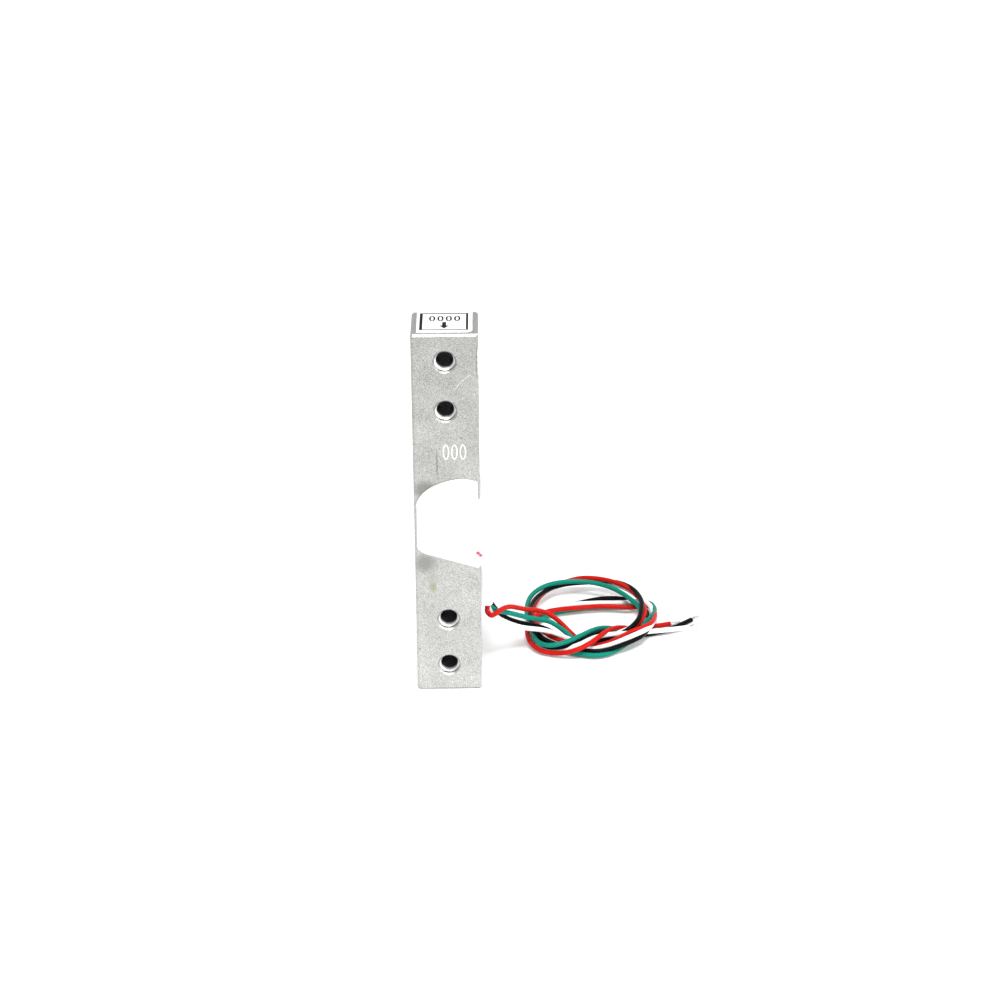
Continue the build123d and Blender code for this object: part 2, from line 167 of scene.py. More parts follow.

# The rest of each lead, picked over the photograph: a pixel's column and row, and the
# height in millimetres that was guessed for the wire there. Where another wire hides it, the
# pixel is a guess too. Each lead comes down to the left of the coil, goes round its two turns and
# out to its tail at the right
PICKED = {
    "red": [
        (487.2, 611.6, 12.9), (491.7, 616, 12), (497.4, 612, 12.1), (503.2, 607.6, 12.1),
        (510.5, 606.1, 11.3), (518.5, 607.8, 10), (527.4, 609.4, 8.6), (536.3, 610, 7.4),
        (545.6, 612.2, 6), (553.9, 616.6, 4.8), (562.2, 623.8, 3.4), (569.8, 632, 2.1),
        (577, 638.2, 1.2), (585, 643.4, 0.8), (596, 645.6, 0.5), (608, 642.6, 0.5), (618, 638, 0.9),
        (627, 632.5, 1.6), (636, 625.5, 2.1), (643, 618.5, 2.3), (645, 609.5, 2.5), (640.5, 599.5, 2.8),
        (631.5, 590, 3.2), (620, 583.6, 3.5), (607, 579.8, 3.5), (594, 577.9, 3.4), (581, 577.5, 3.1),
        (568, 580.6, 2.4), (556, 585.4, 1.6), (546, 590.6, 1.4), (538.9, 597, 1.4), (534.6, 604.5, 1.4),
        (532.6, 612, 1.6), (534.5, 620, 1.9), (539, 627.5, 2), (547.5, 634.5, 1.7), (559, 639.8, 1.3),
        (571, 643.5, 1), (583, 646, 0.9), (596, 646.2, 1.3), (608, 643.6, 1.9), (619, 638, 2.7),
        (630, 632, 3.4), (641, 628.2, 3.5), (650, 624, 3.1), (655, 617.5, 2.3), (654.5, 610, 1.5),
        (649, 605, 1), (641, 606.5, 1.1), (630, 607.6, 1.4), (617, 606.4, 1.5), (603, 606, 1.5),
        (589, 606.6, 1.5), (575, 607.8, 1.5), (561, 608.8, 1.5), (549, 610.6, 1.5), (539, 613.6, 1.4),
        (531, 618.5, 1.3), (527.4, 625.5, 1.3), (527, 634, 1.3), (530.5, 643.5, 1), (540, 650.5, 0.7),
        (553, 653.2, 0.6), (566, 652.6, 1.3), (579, 648.8, 2.3), (591, 642.6, 2.9), (600, 635.4, 3.1),
        (609, 629.2, 2.8), (619, 627.2, 1.9), (630, 628.4, 0.9), (641, 628.2, 0.5), (652, 626.6, 0.5),
        (661, 625.2, 0.5), (670.4, 623.6, 0.5),
    ],
    "white": [
        (489, 609, 13.2), (493.5, 614.6, 11.4), (501, 619.6, 9.4), (509.5, 623.6, 7.6),
        (518.5, 626.6, 6.2), (528, 628.2, 5.2), (537.5, 629, 4.6), (546, 630.4, 3.8),
        (554.5, 632.6, 2.9), (563, 636.2, 2), (571, 639.8, 1.2), (580, 640.8, 0.8), (590, 639.6, 0.6),
        (600, 637.4, 0.6), (609, 634.8, 0.8), (618, 632.6, 1.1), (627, 629.4, 1.4), (635, 624, 1.7),
        (640, 615.5, 1.9), (642.8, 606.5, 2.1), (639.5, 598.4, 2.2), (632, 592, 2.2), (622, 586.8, 2.1),
        (610, 583.4, 1.9), (597, 582, 1.7), (583, 581.8, 1.5), (569, 582.8, 1.2), (556, 586.8, 0.9),
        (545.6, 591.4, 0.7), (538, 597.6, 0.6), (533.2, 605, 0.7), (531.6, 613, 1), (532, 622.5, 1.3),
        (537, 632, 1.2), (545.5, 640.2, 0.9), (556, 645, 0.7), (567, 648, 0.6), (579, 649.4, 0.8),
        (592, 649, 1.3), (604, 646.8, 1.7), (616, 642.8, 2.1), (628, 637.4, 2.8), (640, 632.2, 3),
        (649, 627.8, 2.7), (654, 621, 1.8), (653, 612.5, 1.4), (649.9, 604.6, 1.8), (643.5, 600.8, 1.4),
        (635, 601.2, 1), (625, 602.6, 0.8), (613, 602.8, 0.8), (601, 602.8, 0.9), (589, 603.2, 1),
        (577, 603.6, 1), (565, 605, 1), (553, 607.4, 1), (542.5, 611.2, 0.9), (534, 617, 0.8),
        (529.4, 624, 0.6), (528.6, 633, 0.5), (532.5, 642.5, 0.5), (542, 648.2, 0.5),
        (554.5, 649.6, 0.6), (567, 648.2, 1.2), (579, 644.4, 2), (590, 638.8, 2.4), (600, 635.6, 2.4),
        (610, 634.2, 2.2), (620, 633.4, 1.7), (631, 632.6, 1.3), (643, 632, 1.3), (655, 630.9, 1.3),
        (667, 629.9, 1.2), (679, 628.7, 0.8), (688.5, 627.4, 0.5),
    ],
    "green": [
        (490.2, 606.4, 13.6), (495.5, 610.4, 12.5), (503, 612, 11.2), (511, 613.2, 10.2),
        (520.5, 615.6, 8.6), (530, 618, 7.2), (540.5, 619.6, 5.6), (549, 621, 4.6), (557.5, 625.5, 3.4),
        (565, 631.5, 2.2), (571.5, 637.5, 1.2), (579, 643.4, 0.6), (589, 648, 0.5), (600, 648.4, 0.5),
        (611, 645, 0.5), (622, 639.5, 0.7), (632, 632, 1.1), (640, 622.5, 1.5), (642, 612.5, 1.9),
        (638, 605.5, 2.5), (631, 599.5, 2.9), (623, 593.5, 3.1), (613, 588, 3.2), (601, 584, 3.2),
        (588, 581.8, 3.2), (575, 581, 3.2), (562, 581.6, 3.1), (550, 583.8, 3), (540, 588, 2.8),
        (532, 594, 2.6), (527.5, 602, 2.4), (526.6, 611, 2.3), (528.3, 620, 2.1), (533, 629, 1.7),
        (540.5, 638, 1.2), (549, 645, 0.7), (559, 649.8, 0.5), (569, 652.2, 0.5), (580, 653.8, 0.5),
        (592, 655.2, 0.5), (605, 654.4, 0.5), (617, 650, 0.6), (628, 642.5, 0.8), (637, 633.5, 1.3),
        (644, 624, 1.8), (650.5, 617, 2.1), (655.4, 611, 2), (653, 604.5, 1.5), (647, 602.2, 1),
        (640, 604, 0.6), (630, 606.4, 0.5), (617, 606.8, 0.5), (603, 606.8, 0.5), (589, 607.4, 0.5),
        (575, 609.4, 0.5), (561, 611.4, 0.5), (550, 614.2, 0.5), (541, 618, 0.6), (535, 622.5, 1),
        (532.8, 629, 1.4), (533.5, 637.5, 1.7), (540, 643.5, 1.9), (550, 645.4, 2.2), (561, 643.4, 2.7),
        (572, 639.6, 3.1), (583, 634.6, 3.2), (594, 629.4, 2.7), (604, 627.4, 1.9), (614, 628.6, 1.1),
        (624, 630.4, 0.6), (634, 631, 0.5), (643, 630.8, 0.5), (652, 630.4, 0.5), (660, 630.2, 0.5),
    ],
    "black": [
        (490.6, 602, 14.4), (494.5, 607.6, 12.6), (499.5, 613.6, 10.9), (507, 618.4, 9),
        (516.4, 621.8, 7.2), (527, 624.2, 5.4), (536.5, 625.8, 4.2), (545, 628.4, 3.1),
        (553, 632.2, 2.1), (560.9, 636.4, 1.3), (568.5, 639.6, 0.7), (577, 641.6, 0.5),
        (588, 642.2, 0.5), (598, 641, 0.6), (607, 639.2, 0.8), (616, 636.4, 1.2), (625, 631.6, 1.9),
        (632.9, 625.5, 2.6), (638.8, 618.5, 2.9), (641, 610, 3.2), (642, 601.5, 3.4), (637.5, 593, 3.5),
        (629, 586, 3.5), (618, 582, 3), (606, 581.2, 2.4), (592, 582, 2.1), (578, 582.6, 2.1),
        (565, 584, 2.2), (552.5, 587, 2.2), (542.6, 592, 2.3), (535, 598.6, 2.4), (530.8, 605.8, 2.4),
        (529.6, 613.5, 2.6), (530, 621, 2.7), (533.5, 629, 2.4), (540, 636.5, 1.9), (549, 641.5, 1.4),
        (560, 645.4, 1.1), (570.9, 648.4, 1), (583, 650.4, 1), (596, 651.4, 1.1), (609, 649.4, 1.3),
        (621, 645.4, 1.7), (632.9, 640.6, 2), (643, 635.4, 2), (649, 628, 1.6), (649, 619.5, 1.1),
        (646.5, 611.5, 0.7), (642, 605, 0.5), (634, 601, 0.5), (624, 598.9, 0.5), (612, 598, 0.5),
        (600, 598.8, 0.5), (589, 600.8, 0.5), (578, 603.2, 0.5), (566, 605.8, 0.5), (554, 608.8, 0.5),
        (544, 613, 0.5), (537, 618.6, 0.5), (533, 625.5, 0.5), (532.2, 634, 0.6), (536.5, 641.4, 0.8),
        (545.5, 646.4, 1.1), (557, 647.4, 1.6), (569, 644.8, 2.1), (581, 640.4, 2.4), (592, 634.8, 2.2),
        (602, 631, 1.5), (612, 631, 0.8), (623, 633.2, 0.5), (634, 635.2, 0.5), (645, 635, 0.5),
        (655, 632.8, 0.5), (665, 630.4, 0.5), (675, 627.2, 0.5), (684, 623, 0.5), (691.2, 619.8, 0.5),
    ],
}


def point_seen_at(column, row, height):
    """The point at that height that the camera sees at a pixel, to a tenth of a millimetre."""
    aside = (column - PHOTO_MIDDLE[0]) / CAMERA_FOCUS_PIXELS
    below = (row - PHOTO_MIDDLE[1]) / CAMERA_FOCUS_PIXELS
    way = SIGHT + aside * PHOTO_RIGHT - below * PHOTO_UP
    return np.round(np.array(CAMERA_PLACE) + way * (height - CAMERA_PLACE[2]) / way[2], 1)


def lay_routes():
    """Each lead's points in millimetres, from its exit to its end."""
    return {
        name: np.array([*EXITS[name], *(point_seen_at(*pick) for pick in picks)], float)
        for name, picks in PICKED.items()
    }


def spline_shares(count, samples=5):
    """How much of each control point goes into points along a quadratic spline."""
    knots = np.concatenate([[0, 0], np.arange(count - 1.0), [count - 2, count - 2]])
    at = np.linspace(0, count - 2 - 1e-9, samples * (count - 2) + 1)[:, None]
    shares = ((knots[:-1] <= at) & (at < knots[1:])).astype(float)
    for degree in (1, 2):
        rise = np.maximum(knots[degree:-1] - knots[:-degree - 1], 1e-12)
        fall = np.maximum(knots[degree + 1:] - knots[1:-degree], 1e-12)
        shares = (
            (at - knots[:-degree - 1]) / rise * shares[:, :-1]
            + (knots[degree + 1:] - at) / fall * shares[:, 1:]
        )
    return shares


def settle(routes):
    """Move leads that come too close apart along the camera's line of sight.

    Some stay too close, where the heights guessed for several crossings are at odds.
    """
    names = list(routes)
    start = {name: np.array(routes[name], float) for name in names}
    moved = {name: np.zeros(len(start[name])) for name in names}
    shares = {name: spline_shares(len(start[name])) for name in names}
    for _ in range(SETTLE_ROUNDS):
        lines = [shares[name] @ (start[name] + moved[name][:, None] * SIGHT) for name in names]
        line = np.concatenate(lines)
        owner = np.concatenate([[place] * len(points) for place, points in enumerate(lines)])
        along = np.concatenate([
            np.concatenate([[0], np.cumsum(np.linalg.norm(np.diff(points, axis=0), axis=1))])
            for points in lines
        ])
        size = (line ** 2).sum(1)
        apart = size[:, None] + size[None] - 2 * line @ line.T
        same = (owner[:, None] == owner[None]) & (abs(along[:, None] - along[None]) < SETTLE_SKIP)
        one, other = np.nonzero(np.triu((apart < SETTLE_GAP ** 2) & ~same, 1))
        if len(one) == 0:
            break
        way = line[one] - line[other]
        depth = way @ SIGHT
        across = (way ** 2).sum(1) - depth ** 2
        wanted = np.sqrt(np.maximum(SETTLE_GAP ** 2 - across, 0))
        push = np.where(depth >= 0, wanted - depth, -wanted - depth) / 2
        force = np.zeros(len(line))
        hits = np.zeros(len(line))
        for place, value in ((one, push), (other, -push)):
            np.add.at(force, place, value)
            np.add.at(hits, place, 1)
        force /= np.maximum(hits, 1)
        first = 0
        for name, points in zip(names, lines):
            last = first + len(points)
            touched = hits[first:last] > 0
            weight = np.maximum(shares[name][touched].sum(0), SETTLE_LEAST_SHARE)
            step = moved[name] + (shares[name].T @ force[first:last]) / weight
            step[1:-1] += SETTLE_SMOOTHING * (step[:-2] - 2 * step[1:-1] + step[2:])
            step[:HELD_POINTS] = 0
            step = np.minimum(step, (start[name][:, 2] - WIRE_DIA / 2) / -SIGHT[2])
            moved[name] = np.minimum(step, (BACK_LIMIT - start[name][:, 1]) / SIGHT[1])
            first = last
    return {name: (start[name] + moved[name][:, None] * SIGHT) * MM for name in names}


def ride(piece):
    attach(piece, BODY)
    return piece


def link(name, data):
    piece = bpy.data.objects.new(name, data)
    bpy.context.scene.collection.objects.link(piece)
    return piece


def nurbs_curve(name, points):
    """A smooth open spline with the route's points as its control points."""
    curve = bpy.data.curves.new(name, "CURVE")
    curve.dimensions = "3D"
    spline = curve.splines.new("NURBS")
    spline.points.add(len(points) - 1)
    for place, point in zip(spline.points, points):
        place.co = (*point, 1)
    spline.order_u = 3
    spline.use_endpoint_u = True
    spline.resolution_u = WIRE_LENGTH_STEPS
    curve.resolution_u = WIRE_LENGTH_STEPS
    return curve


def curve_line(curve):
    """Points along a curve that has no thickness yet."""
    probe = bpy.data.objects.new("probe", curve)
    mesh = bpy.data.meshes.new_from_object(probe)
    points = [Vector(vertex.co) for vertex in mesh.vertices]
    bpy.data.objects.remove(probe)
    bpy.data.meshes.remove(mesh)
    return points


def line_length(points):
    return sum((after - before).length for before, after in zip(points, points[1:]))


def make_leads():
    routes = settle(lay_routes())
    for name, points in routes.items():
        curve = nurbs_curve(f"{name}_wire", points)
        length = line_length(curve_line(curve))
        curve.bevel_depth = WIRE_DIA / 2 * MM
        curve.bevel_resolution = WIRE_ROUND_STEPS
        curve.use_fill_caps = True
        wire = link(f"{name}_wire", curve)
        curve.materials.append(wire_finish(name))
        ride(wire)
        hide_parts(f"{name}_lead", f"{name}_tail", "wire_coil")
        make_strands(name, points)


def mesh_piece(name, mesh, material, slot, *replaced):
    piece = link(name, mesh)
    mesh.materials.append(material)
    ride(piece)
    if replaced:
        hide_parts(*replaced)
    return piece


def finish_bmesh(name, shape, smooth=True):
    bmesh.ops.recalc_face_normals(shape, faces=shape.faces)
    mesh = bpy.data.meshes.new(name)
    shape.to_mesh(mesh)
    shape.free()
    for face in mesh.polygons:
        face.use_smooth = smooth
    return mesh


def add_rings(shape, rings):
    """A closed skin over rings of points, with a flat cap on each end."""
    laid = [[shape.verts.new(point) for point in ring] for ring in rings]
    for low, high in zip(laid, laid[1:]):
        for side in range(len(low)):
            after = (side + 1) % len(low)
            shape.faces.new((low[side], low[after], high[after], high[side]))
    shape.faces.new(laid[0][::-1])
    shape.faces.new(laid[-1])


def add_tube(shape, points, radius, sides=8):
    """A round tube of metres along points, tapered a little at its end."""
    rings = []
    for place, point in enumerate(points):
        after = points[min(place + 1, len(points) - 1)]
        before = points[max(place - 1, 0)]
        way = (after - before).normalized()
        level = way.cross(Vector((0, 0, 1))).normalized()
        upright = level.cross(way)
        thick = radius * (0.6 if place == len(points) - 1 else 1.0)
        rings.append([
            point + thick * (cos(turn) * level + sin(turn) * upright)
            for turn in (2 * pi * side / sides for side in range(sides))
        ])
    add_rings(shape, rings)


def make_strands(name, points):
    """Thin tinned strands twisted together out of the end of the insulation."""
    end = Vector(points[-1])
    way = (end - Vector(points[-2])).normalized()
    way.z = 0
    level = way.cross(Vector((0, 0, 1))).normalized()
    upright = Vector((0, 0, 1))
    shape = bmesh.new()
    for strand in range(STRANDS):
        start_turn = 2 * pi * strand / (STRANDS - 1)
        off = 0.0 if strand == STRANDS - 1 else STRAND_PITCH
        length = STRAND_LENGTH * (0.86 + 0.14 * cos(2.4 * strand))
        line = []
        for step in range(STRAND_STEPS + 1):
            share = step / STRAND_STEPS
            turn = start_turn + STRAND_TWIST * share
            out = off * (1 + FRAY[name] * share ** 2 * (1 + 0.6 * sin(3.1 * strand)))
            side = out * cos(turn) + FRAY[name] * 0.5 * share ** 2 * sin(1.7 * strand + 1)
            high = max(out * sin(turn), STRAND_DIA / 2 + 0.02 - end.z / MM)
            ahead = length * share - STRAND_SUNK
            line.append(end + way * ahead * MM + level * side * MM + upright * high * MM)
        add_tube(shape, line, STRAND_DIA / 2 * MM)
    tinned = plain_finish(f"{name}_tinned_strands", (0.74, 0.73, 0.70), 0.3, 1.0, 0.2)
    mesh = finish_bmesh(f"{name}_strands", shape)
    return mesh_piece(f"{name}_strands", mesh, tinned, "tinned_copper", f"{name}_core")


def make_threads():
    """The ridge of each tapped hole's thread, a closed helix sunk into the wall of its bore."""
    material = thread_finish()
    turns = (bar_high.y - bar_low.y - 2 * THREAD_SINK) / THREAD_PITCH
    steps = int(turns * THREAD_STEPS)
    for place, height in enumerate(HOLE_HEIGHTS):
        rings = []
        for step in range(steps + 1):
            turn = 2 * pi * step / THREAD_STEPS
            depth = bar_low.y + THREAD_SINK + THREAD_PITCH * step / THREAD_STEPS
            fade = min(1.0, step / THREAD_FADE_STEPS, (steps - step) / THREAD_FADE_STEPS)
            buried = THREAD_ROOT - THREAD_BURIED
            crest = buried - (buried - THREAD_CREST) * fade
            rings.append([
                Vector((radius * cos(turn), depth + aside, height + radius * sin(turn))) * MM
                for radius, aside in (
                    (THREAD_ROOT, -THREAD_FLANK), (crest, -THREAD_FLAT),
                    (crest, THREAD_FLAT), (THREAD_ROOT, THREAD_FLANK),
                )
            ])
        shape = bmesh.new()
        add_rings(shape, rings)
        name = f"thread_{place + 1}"
        mesh_piece(name, finish_bmesh(name, shape, False), material, "aluminium")


def add_plate(shape, outline, low, high, lay):
    """A flat plate between two levels over an outline, laid down by the given rule."""
    under = [shape.verts.new(lay(u, v, low)) for u, v in outline]
    over = [shape.verts.new(lay(u, v, high)) for u, v in outline]
    shape.faces.new(under[::-1])
    shape.faces.new(over)
    for side in range(len(outline)):
        after = (side + 1) % len(outline)
        shape.faces.new((under[side], under[after], over[after], over[side]))


def add_zero(shape, middle_u, middle_v, width, height, stroke, low, high, lay):
    """The figure nought as a flat ring."""
    rings = []
    for half_u, half_v, level in (
        (width / 2, height / 2, low), (width / 2, height / 2, high),
        (width / 2 - stroke, height / 2 - stroke, high), (width / 2 - stroke, height / 2 - stroke, low),
    ):
        rings.append([
            shape.verts.new(lay(middle_u + half_u * cos(turn), middle_v + half_v * sin(turn), level))
            for turn in (2 * pi * side / NOUGHT_SIDES for side in range(NOUGHT_SIDES))
        ])
    for one, other in zip(rings, rings[1:] + rings[:1]):
        for side in range(NOUGHT_SIDES):
            after = (side + 1) % NOUGHT_SIDES
            shape.faces.new((one[side], one[after], other[after], other[side]))


def on_top(x, y, z):
    return Vector((x, y, z)) * MM


def on_front(x, z, out):
    return Vector((x, BAR_FRONT - out, z)) * MM


def box_outline(left, near, right, far):
    return ((left, near), (right, near), (right, far), (left, far))


def make_label():
    """White paper on the top end with a printed frame, a load arrow and plain noughts."""
    paper_low, paper_high = (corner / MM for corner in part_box("rating_label"))
    top = paper_high.z - PRINT_RISE
    left, right = paper_low.x, paper_high.x
    near, far = paper_low.y, paper_high.y
    outline = [
        (left + 0.05, near), (0.0, near + 0.04), (3.9, near + 0.02), (4.3, near + 0.16), (4.55, near + 0.1),
        (4.8, near + 0.5), (right - 0.12, near + 0.78), (right, near + 1.3), (right - 0.03, 0.5),
        (right, far - 0.05), (right - 0.08, far), (left + 0.1, far), (left, far - 0.1), (left + 0.03, 0.0),
    ]
    shape = bmesh.new()
    add_plate(shape, outline, BAR_TOP - 0.02, top, on_top)
    mesh_piece(
        "label_sheet", finish_bmesh("label_sheet", shape, False),
        plain_finish("label_paper", (0.90, 0.90, 0.89), 0.5), "label_paper", "rating_label",
    )
    shape = bmesh.new()
    low, high = top - 0.01, paper_high.z - 0.002
    for outline in (*(box_outline(*bar) for bar in LABEL_BARS), ARROW_HEAD):
        add_plate(shape, outline, low, high, on_top)
    for place in range(4):
        across = LABEL_NOUGHT_X + place * LABEL_NOUGHT_PITCH
        add_zero(shape, across, LABEL_NOUGHT_Y, *LABEL_NOUGHT_SIZE, low, high, on_top)
    mesh_piece(
        "label_print", finish_bmesh("label_print", shape, False),
        plain_finish("label_ink", (0.010, 0.010, 0.011), 0.6, shine=0.06), "label_paper",
    )
    shape = bmesh.new()
    for place in range(3):
        across = place * FACE_NOUGHT_PITCH
        add_zero(shape, across, FACE_NOUGHT_HEIGHT, *FACE_NOUGHT_SIZE, -0.01, PRINT_RISE, on_front)
    mesh_piece(
        "face_mark", finish_bmesh("face_mark", shape, False),
        plain_finish("mark_paint", (0.93, 0.93, 0.92), 0.5), "label_paper",
    )


def make_burrs():
    """Small burrs along two of the bar's edges, and the scratch beside them."""
    places = [
        ((bar_high.x - 0.1, bar_low.y + 0.14, z), (0.12, 0.13, 0.8), z) for z in SIDE_BURR_HEIGHTS
    ]
    places += [
        ((x, bar_low.y + 0.32, BAR_TOP - 0.09), (0.42, 0.22, 0.14), x) for x in TOP_BURR_PLACES
    ]
    shape = bmesh.new()
    for middle, half, seed in places:
        made = bmesh.ops.create_icosphere(shape, subdivisions=3, radius=1.0)
        for vertex in made["verts"]:
            way = vertex.co.copy()
            swell = 1 + 0.35 * smooth_noise(way * 1.6 + Vector((seed * 3.1, 0, seed)))
            vertex.co = Vector(m + w * h * swell for m, w, h in zip(middle, way, half)) * MM
    for begin, end in zip(SCRATCH_POINTS, SCRATCH_POINTS[1:]):
        side = SCRATCH_WIDTH / 2
        outline = (
            (begin[0] + side, begin[1] - side), (begin[0] - side, begin[1] + side),
            (end[0] - side, end[1] + side), (end[0] + side, end[1] - side),
        )
        add_plate(shape, outline, -0.01, 0.004, on_front)
    mesh_piece(
        "edge_burrs", finish_bmesh("edge_burrs", shape),
        plain_finish("raw_aluminium", (0.93, 0.93, 0.94), 0.45, 1.0, 0.2), "aluminium",
    )


def add_swollen_root(shape, root, source):
    """The silicone swells a little over each wire that is potted in it."""
    swollen = bmesh.new()
    swollen.from_mesh(root.data)
    bmesh.ops.remove_doubles(swollen, verts=swollen.verts, dist=1e-7)
    bmesh.ops.recalc_face_normals(swollen, faces=swollen.faces)
    swollen.normal_update()
    for vertex in swollen.verts:
        vertex.co += vertex.normal * SILICONE_COVER * MM
    mesh = bpy.data.meshes.new("swollen")
    swollen.to_mesh(mesh)
    swollen.free()
    mesh.transform(source.matrix_world.inverted() @ root.matrix_world)
    shape.from_mesh(mesh)
    bpy.data.meshes.remove(mesh)


def make_silicone():
    """The sealant's own form, softened as hand-spread silicone is, and pressed onto the bar."""
    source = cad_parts["sealant"]
    shape = bmesh.new()
    shape.from_mesh(source.data)
    for name in WIRE_COLOURS:
        add_swollen_root(shape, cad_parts[f"{name}_root"], source)
    mesh = bpy.data.meshes.new("silicone")
    shape.to_mesh(mesh)
    shape.free()
    blob = link("silicone", mesh)
    blob.matrix_world = source.matrix_world.copy()
    low, high = (corner.copy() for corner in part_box("sealant"))
    remesh = blob.modifiers.new("even", "REMESH")
    remesh.mode = "VOXEL"
    remesh.voxel_size = SILICONE_GRAIN * MM
    soften = blob.modifiers.new("soften", "SMOOTH")
    soften.factor = 0.5
    soften.iterations = SILICONE_SOFTENING
    bpy.context.view_layer.update()
    even = bpy.data.meshes.new_from_object(blob.evaluated_get(bpy.context.evaluated_depsgraph_get()))
    blob.modifiers.clear()
    blob.data = even
    into = blob.matrix_world.inverted()
    for vertex in even.vertices:
        at = blob.matrix_world @ vertex.co
        swell = smooth_noise(at / (SILICONE_WAVE_SIZE * MM)) * SILICONE_WAVE_DEPTH * MM
        for axis in (0, 1):
            outward = 1 if at[axis] > 0 else -1
            at_face = abs(abs(at[axis]) - BAR_RIGHT * MM) < SILICONE_REACH * MM
            if abs(at[axis]) > BAR_RIGHT * MM + SILICONE_PROUD * MM:
                at[axis] += swell * outward
            elif at_face and abs(at[1 - axis]) < (BAR_RIGHT + SILICONE_BESIDE) * MM:
                at[axis] -= SILICONE_PRESS * MM * outward
        for axis in range(3):
            at[axis] = min(max(at[axis], low[axis]), high[axis])
        vertex.co = into @ at
    for face in even.polygons:
        face.use_smooth = True
    even.materials.append(silicone_finish())
    ride(blob)
    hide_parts("sealant")


class Finish:
    """A material and the few kinds of node that the finishes below are made of."""

    def __init__(self, name, **sockets):
        self.material = bpy.data.materials.new(name)
        self.material.use_nodes = True
        self.nodes = self.material.node_tree.nodes
        self.links = self.material.node_tree.links
        self.shader = self.nodes["Principled BSDF"]
        for socket, value in sockets.items():
            self.shader.inputs[socket.replace("_", " ")].default_value = value
        self.place = self.nodes.new("ShaderNodeTexCoord").outputs["Object"]

    def put(self, value, socket):
        if isinstance(value, bpy.types.NodeSocket):
            self.links.new(value, socket)
        else:
            socket.default_value = value

    def math(self, operation, *values):
        node = self.nodes.new("ShaderNodeMath")
        node.operation = operation
        for value, socket in zip(values, node.inputs):
            self.put(value, socket)
        return node.outputs[0]

    def noise(self, size, detail=2.0, rough=0.5, stretch=(1, 1, 1)):
        """Noise with features of about that size in millimetres."""
        scaled = self.nodes.new("ShaderNodeMapping")
        scaled.inputs["Scale"].default_value = stretch
        self.links.new(self.place, scaled.inputs["Vector"])
        node = self.nodes.new("ShaderNodeTexNoise")
        node.inputs["Scale"].default_value = 1 / (size * MM)
        node.inputs["Detail"].default_value = detail
        node.inputs["Roughness"].default_value = rough
        self.links.new(scaled.outputs[0], node.inputs["Vector"])
        return node.outputs["Fac"]

    def ramp(self, value, *stops):
        """Colours or levels from (place, level) stops."""
        node = self.nodes.new("ShaderNodeValToRGB")
        self.links.new(value, node.inputs[0])
        elements = node.color_ramp.elements
        while len(elements) < len(stops):
            elements.new(0.5)
        for element, (place, level) in zip(elements, stops):
            element.position = place
            element.color = (*level, 1) if isinstance(level, tuple) else (level, level, level, 1)
        return node.outputs["Color"]

    def mix(self, share, one, other, kind="MIX"):
        node = self.nodes.new("ShaderNodeMix")
        node.data_type = "RGBA"
        node.blend_type = kind
        self.put(share, node.inputs["Factor"])
        for value, socket in ((one, "A"), (other, "B")):
            target = next(s for s in node.inputs if s.name == socket and s.type == "RGBA")
            self.put((*value, 1) if isinstance(value, tuple) else value, target)
        return next(s for s in node.outputs if s.type == "RGBA")

    def bump(self, height, depth, strength):
        """Bump of that depth in millimetres."""
        node = self.nodes.new("ShaderNodeBump")
        node.inputs["Strength"].default_value = strength
        node.inputs["Distance"].default_value = depth * MM
        self.links.new(height, node.inputs["Height"])
        self.links.new(node.outputs[0], self.shader.inputs["Normal"])

    def spot(self, middle, reach, soft=0.4):
        """One inside an ellipsoid given in millimetres, fading to nothing at its skin."""
        away = self.nodes.new("ShaderNodeVectorMath")
        away.operation = "SUBTRACT"
        self.links.new(self.place, away.inputs[0])
        away.inputs[1].default_value = [value * MM for value in middle]
        scaled = self.nodes.new("ShaderNodeVectorMath")
        scaled.operation = "DIVIDE"
        self.links.new(away.outputs[0], scaled.inputs[0])
        scaled.inputs[1].default_value = [value * MM for value in reach]
        size = self.nodes.new("ShaderNodeVectorMath")
        size.operation = "LENGTH"
        self.links.new(scaled.outputs[0], size.inputs[0])
        return self.ramp(size.outputs["Value"], (1 - soft, 1.0), (1.0, 0.0))

    def colour(self, value):
        self.put(value, self.shader.inputs["Base Color"])

    def roughness(self, value):
        self.put(value, self.shader.inputs["Roughness"])


WIRE_COLOURS = {
    "red": (0.50, 0.011, 0.007),
    "white": (0.93, 0.93, 0.92),
    "green": (0.005, 0.215, 0.155),
    "black": (0.003, 0.003, 0.003),
}


def wire_finish(name):
    """Glossy insulation with a faint waviness and finger marks."""
    finish = Finish(f"{name}_insulation", IOR=1.5, Specular_IOR_Level=0.05)
    tone = finish.noise(3.0)
    base = WIRE_COLOURS[name]
    darker = tuple(level * 0.86 for level in base)
    finish.colour(finish.mix(tone, darker, base))
    finish.roughness(finish.ramp(finish.noise(1.6, 3), (0.3, 0.22), (0.7, 0.34)))
    finish.bump(finish.noise(0.9, 2), 0.02, 0.4)
    return finish.material


def paint_bore_shade(finish, colour):
    """Painted shade deep in the tapped holes: near black and not metallic inside, fading to the bare colour
    near their mouths.
    """
    bare = 1.0
    for height in HOLE_HEIGHTS:
        inside = finish.spot((0, 0, height), (THREAD_ROOT + 1.4, BORE_SHADE_REACH, THREAD_ROOT + 1.4), 0.2)
        colour = finish.mix(inside, colour, (0.010, 0.010, 0.010))
        bare = finish.math("SUBTRACT", bare, inside)
    finish.colour(colour)
    finish.put(bare, finish.shader.inputs["Metallic"])


